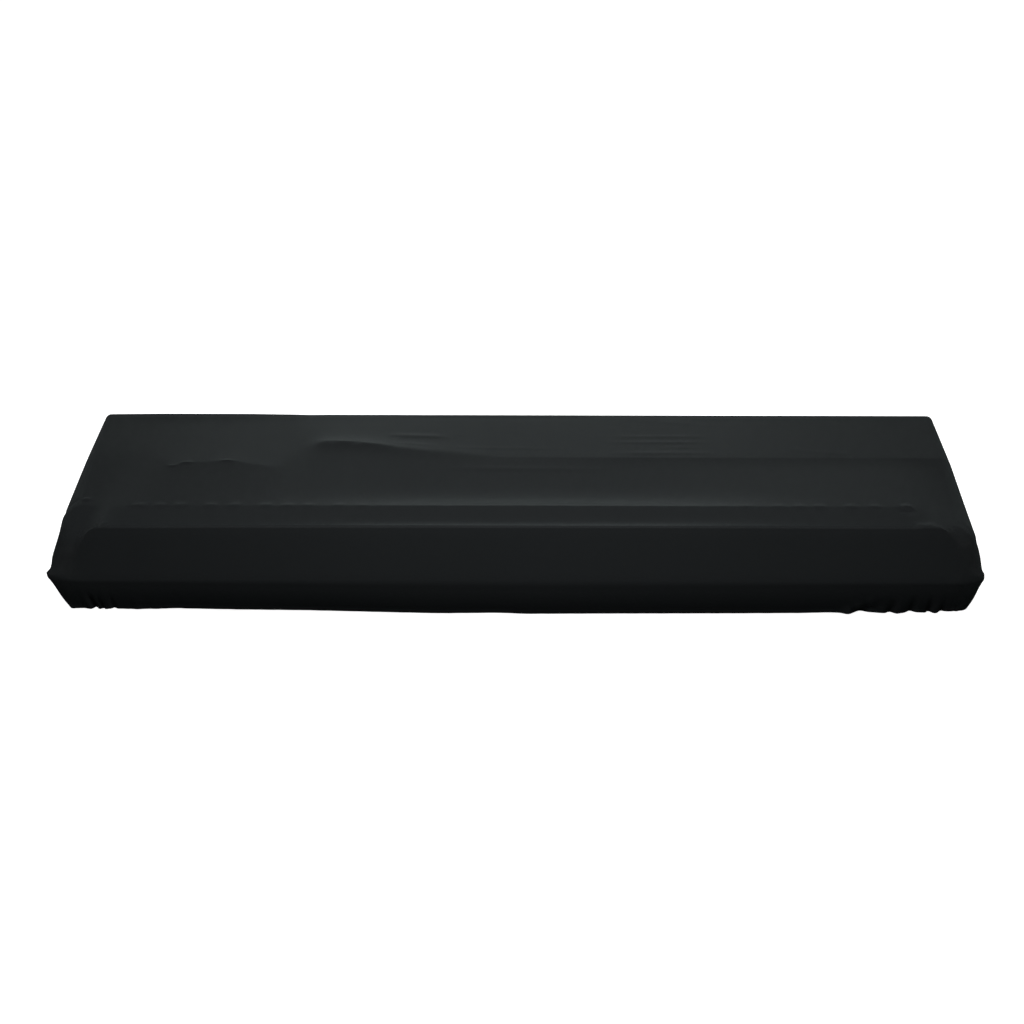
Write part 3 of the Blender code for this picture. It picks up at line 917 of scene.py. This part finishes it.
def nodes_of(owner):
    """The nodes of a material or a world, and a short way to make a node and wire it."""
    owner.use_nodes = True
    tree = owner.node_tree

    def make(kind, links=None, **settings):
        node = tree.nodes.new("ShaderNode" + kind)
        for key, value in settings.items():
            setattr(node, key, value)
        for socket, source in (links or {}).items():
            if hasattr(source, "is_output"):
                tree.links.new(source, node.inputs[socket])
            else:
                node.inputs[socket].default_value = source
        return node
    return tree, make


def knit_material():
    """Ribs times rows as a bump on the cloth map, a dark ground and a faint glossy haze."""
    material = bpy.data.materials.new("black_knit")
    tree, make = nodes_of(material)
    shader = tree.nodes["Principled BSDF"]

    where = make("UVMap", uv_map="cloth_map")
    parts = make("SeparateXYZ", {"Vector": where.outputs["UV"]})

    def lines(axis, pitch):
        """Round-backed lines a pitch apart: the size of the sine of pi * place / pitch."""
        turns = make("Math", {0: parts.outputs[axis], 1: np.pi / pitch}, operation="MULTIPLY")
        wave = make("Math", {0: turns.outputs[0]}, operation="SINE")
        return make("Math", {0: wave.outputs[0]}, operation="ABSOLUTE").outputs[0]

    row = make("Math", {0: lines("Y", ROW_PITCH), 1: ROW_SHARE, 2: 1 - ROW_SHARE},
               operation="MULTIPLY_ADD")
    loops = make("Math", {0: lines("X", RIB_PITCH), 1: row.outputs[0]}, operation="MULTIPLY")
    relief = make("Bump", {"Height": loops.outputs[0], "Distance": KNIT_DEPTH, "Strength": 1.0})

    spot = make("TexCoord").outputs["Object"]
    cloud = make("TexNoise", {"Vector": spot, **CLOUD})
    fleck = make("TexNoise", {"Vector": spot, **FLECK})
    both = make("Math", {0: cloud.outputs["Fac"], 1: fleck.outputs["Fac"]}, operation="ADD")
    both = make("Math", {0: both.outputs[0], 1: 0.5}, operation="MULTIPLY")
    colour = make("Mix", {"Factor": both.outputs[0]}, data_type="RGBA")
    colour.inputs["A"].default_value = GROUND
    colour.inputs["B"].default_value = GROUND_LIGHT

    tree.links.new(colour.outputs["Result"], shader.inputs["Base Color"])
    tree.links.new(relief.outputs["Normal"], shader.inputs["Normal"])
    tree.links.new(relief.outputs["Normal"], shader.inputs["Coat Normal"])
    shader.inputs["Roughness"].default_value = 1.0
    shader.inputs["Specular IOR Level"].default_value = 0.0
    shader.inputs["Coat Weight"].default_value = HAZE_WEIGHT
    shader.inputs["Coat Roughness"].default_value = HAZE_ROUGHNESS
    shader.inputs["Coat IOR"].default_value = HAZE_INDEX
    return material


cover.data.materials.append(knit_material())
print("knit: ribs", RIB_PITCH * 1000, "mm apart, rows", ROW_PITCH * 1000, "mm apart")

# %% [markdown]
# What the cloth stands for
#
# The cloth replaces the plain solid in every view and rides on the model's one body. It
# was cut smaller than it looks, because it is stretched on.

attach(cover, "root")
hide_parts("cover")

# %% [markdown]
# The floor
#
# The cover lies on a plain white floor that has no visible edge. The floor could be lit until
# it is white, but the same light would fall on the black cloth, so it glows by itself. The
# cloth doesn't see it, because a black thing on a white table otherwise gets a bright
# underside that the photograph doesn't have.

# %% Floor
FLOOR_SIZE, FLOOR_GAP = 60.0, 0.002
FLOOR_WHITE = (0.90, 0.90, 0.90, 1)
FLOOR_GLOW, FLOOR_ROUGHNESS = 1.1, 0.9

half = FLOOR_SIZE / 2
floor_mesh = bpy.data.meshes.new("floor")
floor_mesh.from_pydata([(-half, -half, -FLOOR_GAP), (half, -half, -FLOOR_GAP),
                        (half, half, -FLOOR_GAP), (-half, half, -FLOOR_GAP)], [], [(0, 1, 2, 3)])
floor = bpy.data.objects.new("floor", floor_mesh)
bpy.context.scene.collection.objects.link(floor)
floor_paint = bpy.data.materials.new("white_floor")
floor_paint.use_nodes = True
paint = floor_paint.node_tree.nodes["Principled BSDF"]
paint.inputs["Base Color"].default_value = FLOOR_WHITE
paint.inputs["Roughness"].default_value = FLOOR_ROUGHNESS
paint.inputs["Specular IOR Level"].default_value = 0.0
paint.inputs["Emission Color"].default_value = FLOOR_WHITE
paint.inputs["Emission Strength"].default_value = FLOOR_GLOW
floor.data.materials.append(floor_paint)
floor.visible_diffuse = False
floor.visible_glossy = False
print("floor", FLOOR_SIZE, "metres wide,", FLOOR_GAP, "metres below the hem")

# %% [markdown]
# The lights
#
# Black cloth shows little but the light that grazes it, so where a light stands matters more
# than how strong it is. A key light draws the front wall, and one above fills the top. A
# small one high behind crosses the top nearly flat and draws its ridges. A low one behind
# and two at the sides are weak, and only keep the back and the end walls from going black.

# %% Softboxes
AIM, WHITE, COOL = (0, 0, 0.1), (1, 1, 1), (0.87, 1.0, 0.99)
SOFTBOXES = [
    dict(name="key", place=(0.0, -1.0, 0.65), size=(0.8, 0.5), watts=11.7),
    dict(name="top_light", place=(0.0, -0.2, 1.3), size=(0.9, 0.6), watts=14.9),
    dict(name="back_light", place=(0.0, 2.2, 0.72), size=(1.5, 0.4), watts=3.3, colour=COOL),
    dict(name="low_back_light", place=(0.0, 1.7, 0.09), size=(1.0, 0.14), watts=10.0,
         aim=(0, 0, 0.09)),
    dict(name="left_light", place=(-1.5, -0.25, 0.2), size=(0.5, 0.4), watts=3.0),
    dict(name="right_light", place=(1.5, -0.25, 0.2), size=(0.5, 0.4), watts=3.0),
]


def softbox(name, place, size, watts, colour=WHITE, aim=AIM):
    """A rectangular light that faces a place."""
    data = bpy.data.lights.new(name, "AREA")
    data.shape = "RECTANGLE"
    data.size, data.size_y = size
    data.energy = watts
    data.color = colour
    lamp = bpy.data.objects.new(name, data)
    lamp.location = place
    lamp.rotation_euler = (Vector(aim) - Vector(place)).to_track_quat("-Z", "Y").to_euler()
    bpy.context.scene.collection.objects.link(lamp)


for light in SOFTBOXES:
    softbox(**light)
print("softboxes:", [light["name"] for light in SOFTBOXES])

# %% [markdown]
# The room round it
#
# The thin coat on the knit mirrors whatever is low behind the cover. Where that is pale, it
# draws bright lines along the ridges, as in the photograph. Here the world's own light is
# pale there, in two soft bands, and dim everywhere else.

# %% Room and pale bands
# Rise and fall are heights of a direction over which a band comes and goes, and behind is
# how far back it has to point
ROOM = 0.06
HORIZON = dict(strength=0.30, rise=(-0.45, -0.20), fall=(0.10, 0.30))
BACK_SKY = dict(strength=1.20, rise=(0.12, 0.20), fall=(0.23, 0.42))
BEHIND = (0.30, 0.80)
SKY_COLOUR = (0.88, 1.0, 0.99, 1)


def studio(room, bands):
    """World light: a dim room, and soft pale bands low behind the cover.

    Its strength is room plus, for each band, strength * rise(z) * fall(z) * behind(y), for a
    direction (x, y, z).
    """
    world = bpy.data.worlds.new("studio")
    tree, make = nodes_of(world)
    parts = make("SeparateXYZ", {"Vector": make("TexCoord").outputs["Generated"]})

    def soft(axis, start, end, low, high):
        return make("MapRange", {"Value": parts.outputs[axis], "From Min": start, "From Max": end,
                                 "To Min": low, "To Max": high},
                    interpolation_type="SMOOTHSTEP").outputs["Result"]

    total = room
    for band in bands:
        level = soft("Z", *band["rise"], 0, band["strength"])
        for other in (soft("Z", *band["fall"], 1, 0), soft("Y", *BEHIND, 0, 1)):
            level = make("Math", {0: level, 1: other}, operation="MULTIPLY").outputs[0]
        total = make("Math", {0: level, 1: total}, operation="ADD").outputs[0]
    tree.links.new(total, tree.nodes["Background"].inputs["Strength"])
    tree.nodes["Background"].inputs["Color"].default_value = SKY_COLOUR
    bpy.context.scene.world = world


studio(ROOM, (HORIZON, BACK_SKY))
bpy.context.scene.view_settings.view_transform = "Standard"
print("room light", ROOM, "and bands of", HORIZON["strength"], "and", BACK_SKY["strength"])
